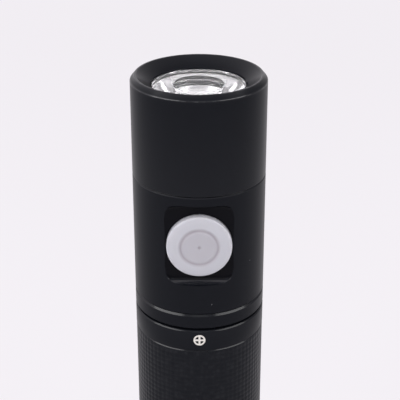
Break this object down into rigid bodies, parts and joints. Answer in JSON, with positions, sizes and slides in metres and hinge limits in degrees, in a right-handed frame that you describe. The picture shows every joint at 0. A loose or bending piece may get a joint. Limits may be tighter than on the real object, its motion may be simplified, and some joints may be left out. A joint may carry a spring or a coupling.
{
  "type": "flashlight",
  "caption": "Pocket flashlight with a round side button in a flat pocket, a clear collimator lens behind a shallow funnel, a screwed head and a screwed tail cap.",
  "frame": {"origin": "centre of the tail's flat face, on the barrel's axis", "axes": "+Z along the barrel towards the lens, -Y out through the side button, +X to the right of the button seen from outside"},
  "size_m": [0.0247, 0.0246, 0.117],
  "materials": {
    "anodised": "fine matte black anodising",
    "clear_optic": "clear polished moulding",
    "button_silicone": "translucent white satin silicone",
    "seal_rubber": "greased black rubber",
    "holder_plastic": "white matte moulding",
    "led_lens": "clear silicone dome",
    "phosphor": "yellow phosphor",
    "ceramic": "white ceramic",
    "board_mask": "white solder mask on copper",
    "green_board": "green solder mask on glass fibre",
    "plated_steel": "bright plated",
    "brass_parts": "turned brass",
    "black_plastic": "black moulding",
    "wire_sleeve": "red silicone wire sleeve",
    "ferrite": "dark grey moulded ferrite",
    "capacitor_body": "tan ceramic",
    "cell_sleeve": "blue shrink sleeve over a steel can",
    "insulator_card": "white insulator card",
    "magnet_plate": "nickel plated",
    "spring_steel": "gold plated spring wire"
  },
  "bodies": {
    "tube": {"battery_tube": "anodised", "head_o_ring": "seal_rubber", "tail_o_ring": "seal_rubber", "cell_can": "cell_sleeve", "cell_insulator": "insulator_card", "cell_terminal": "plated_steel"},
    "post": {"contact_post": "brass_parts"},
    "head": {"bezel": "anodised", "lens_seal": "seal_rubber", "tir_optic": "clear_optic", "optic_holder": "holder_plastic", "led_dome": "led_lens", "led_emitter": "phosphor", "led_package": "ceramic", "led_board": "board_mask", "led_board_screws": "plated_steel", "bezel_o_ring": "seal_rubber", "switch_housing": "anodised", "button_flange": "button_silicone", "switch_board": "green_board", "tact_switch": "black_plastic", "indicator_leds": "ceramic", "switch_retainer": "brass_parts", "switch_leads": "wire_sleeve", "led_leads": "wire_sleeve", "driver_board": "green_board", "driver_inductor": "ferrite", "driver_chip": "black_plastic", "driver_capacitors": "capacitor_body", "driver_retainer": "brass_parts"},
    "button": {"switch_button": "button_silicone"},
    "plunger": {"tact_plunger": "black_plastic"},
    "magnet": {"tail_magnet": "magnet_plate"},
    "tail": {"tail_cap": "anodised", "tail_board": "green_board", "tail_spring": "spring_steel", "tail_retainer": "brass_parts"}
  },
  "joints": [
    {"name": "head_rise", "type": "slide", "parent": "tube", "child": "post", "axis": [0, 0, 1], "range_m": [0, 0.003]},
    {"name": "head_unscrew", "type": "hinge", "parent": "post", "child": "head", "pos_m": [0, 0, 0.08], "axis": [0, 0, 1], "range_deg": [0, 1080]},
    {"name": "button_press", "type": "slide", "parent": "head", "child": "button", "axis": [0, 1, 0], "range_m": [0, 0.0005], "stiffness_N_per_m": 1500, "springref_m": -0.001},
    {"name": "plunger_press", "type": "slide", "parent": "head", "child": "plunger", "axis": [0, 1, 0], "range_m": [0, 0.000501]},
    {"name": "tail_drop", "type": "slide", "parent": "tube", "child": "magnet", "axis": [0, 0, -1], "range_m": [0, 0.004]},
    {"name": "tail_unscrew", "type": "hinge", "parent": "magnet", "child": "tail", "pos_m": [0, 0, 0.01], "axis": [0, 0, -1], "range_deg": [0, 1440]}
  ],
  "couplings": [
    {"joint": "head_rise", "follows": "head_unscrew", "m_per_rad": 0.00015915},
    {"joint": "tail_drop", "follows": "tail_unscrew", "m_per_rad": 0.00015915},
    {"joint": "plunger_press", "follows": "button_press", "ratio": 1}
  ]
}
